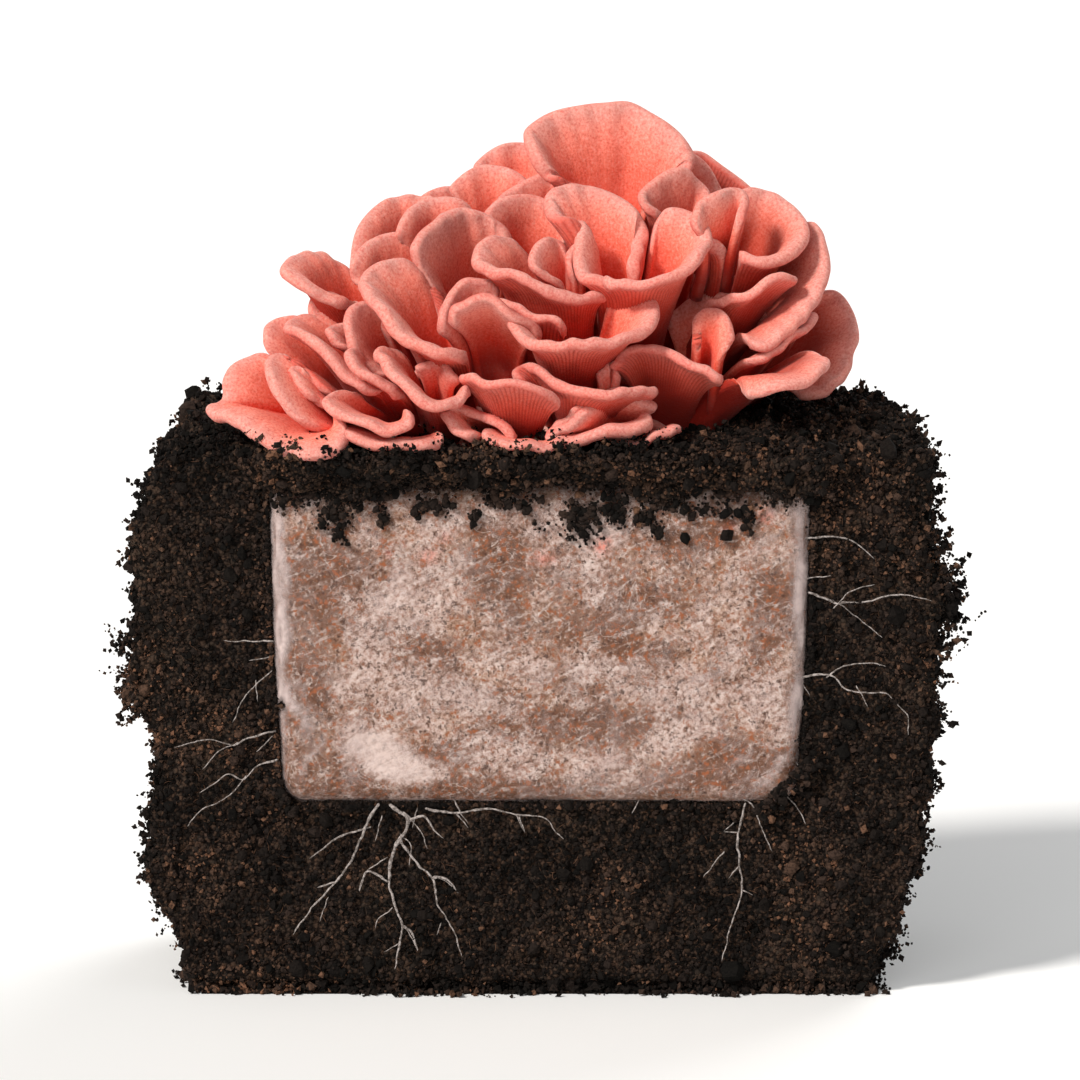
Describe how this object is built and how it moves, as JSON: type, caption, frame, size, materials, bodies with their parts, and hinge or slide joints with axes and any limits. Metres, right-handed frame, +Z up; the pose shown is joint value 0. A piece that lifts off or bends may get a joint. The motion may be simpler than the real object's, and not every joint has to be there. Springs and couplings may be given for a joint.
{
  "type": "oyster mushroom grow bag",
  "caption": "Fruiting block of pink oyster mushrooms: a colonised sawdust block in clear film, bedded in dark casing soil cut open at the front, with a ruffled cluster on top.",
  "frame": {"origin": "on the floor under the middle of the soil clod, at the centre of its flat underside", "axes": "+X to the right as seen from the cut front, +Y away from the cut front, +Z up"},
  "size_m": [0.2992, 0.1762, 0.3264],
  "materials": {
    "oyster_flesh": "matt, felted, paler at the rim",
    "stem_flesh": "matt, fibrous",
    "casing_soil": "crumbly, matt, moist",
    "colonised_sawdust": "matt, mottled tan and white",
    "film": "clear, creased",
    "mycelium": "matt, fibrous"
  },
  "bodies": {
    "root": {"cap_arch": "oyster_flesh", "cap_big_cup": "oyster_flesh", "cap_centre_back": "oyster_flesh", "cap_centre_funnel": "oyster_flesh", "cap_far_left": "oyster_flesh", "cap_far_left_high": "oyster_flesh", "cap_far_middle": "oyster_flesh", "cap_far_middle_high": "oyster_flesh", "cap_far_middle_low": "oyster_flesh", "cap_far_right": "oyster_flesh", "cap_far_right_high": "oyster_flesh", "cap_far_right_low": "oyster_flesh", "cap_front_cup": "oyster_flesh", "cap_front_right_shelf": "oyster_flesh", "cap_front_right_tongue": "oyster_flesh", "cap_front_shelf": "oyster_flesh", "cap_front_tongue": "oyster_flesh", "cap_left_big": "oyster_flesh", "cap_left_ear": "oyster_flesh", "cap_left_high_back": "oyster_flesh", "cap_left_high_lip": "oyster_flesh", "cap_left_leaf": "oyster_flesh", "cap_left_long_strap": "oyster_flesh", "cap_left_low_lip": "oyster_flesh", "cap_left_spoon": "oyster_flesh", "cap_left_strap": "oyster_flesh", "cap_left_thin_lip": "oyster_flesh", "cap_left_tongue": "oyster_flesh", "cap_left_upper": "oyster_flesh", "cap_left_wall": "oyster_flesh", "cap_middle_back": "oyster_flesh", "cap_middle_cup": "oyster_flesh", "cap_middle_thin_shelf": "oyster_flesh", "cap_right_back": "oyster_flesh", "cap_right_back_inner": "oyster_flesh", "cap_right_bulge": "oyster_flesh", "cap_right_ear": "oyster_flesh", "cap_right_low_roll": "oyster_flesh", "cap_right_low_shelf": "oyster_flesh", "cap_right_rim": "oyster_flesh", "cap_right_round": "oyster_flesh", "cap_right_shelf": "oyster_flesh", "cap_right_thin_rim": "oyster_flesh", "cap_right_upper": "oyster_flesh", "cap_right_wave": "oyster_flesh", "cap_spoon": "oyster_flesh", "cap_throat_lip": "oyster_flesh", "cap_top": "oyster_flesh", "cap_top_left": "oyster_flesh", "cap_top_left_back": "oyster_flesh", "cap_trumpet": "oyster_flesh", "grow_bag": "film", "soil": "casing_soil", "stem_base": "stem_flesh", "strand_centre": "mycelium", "strand_left_main": "mycelium", "strand_right_fork": "mycelium", "strand_right_low": "mycelium", "strand_trunk": "mycelium", "substrate_block": "colonised_sawdust"}
  },
  "joints": []
}
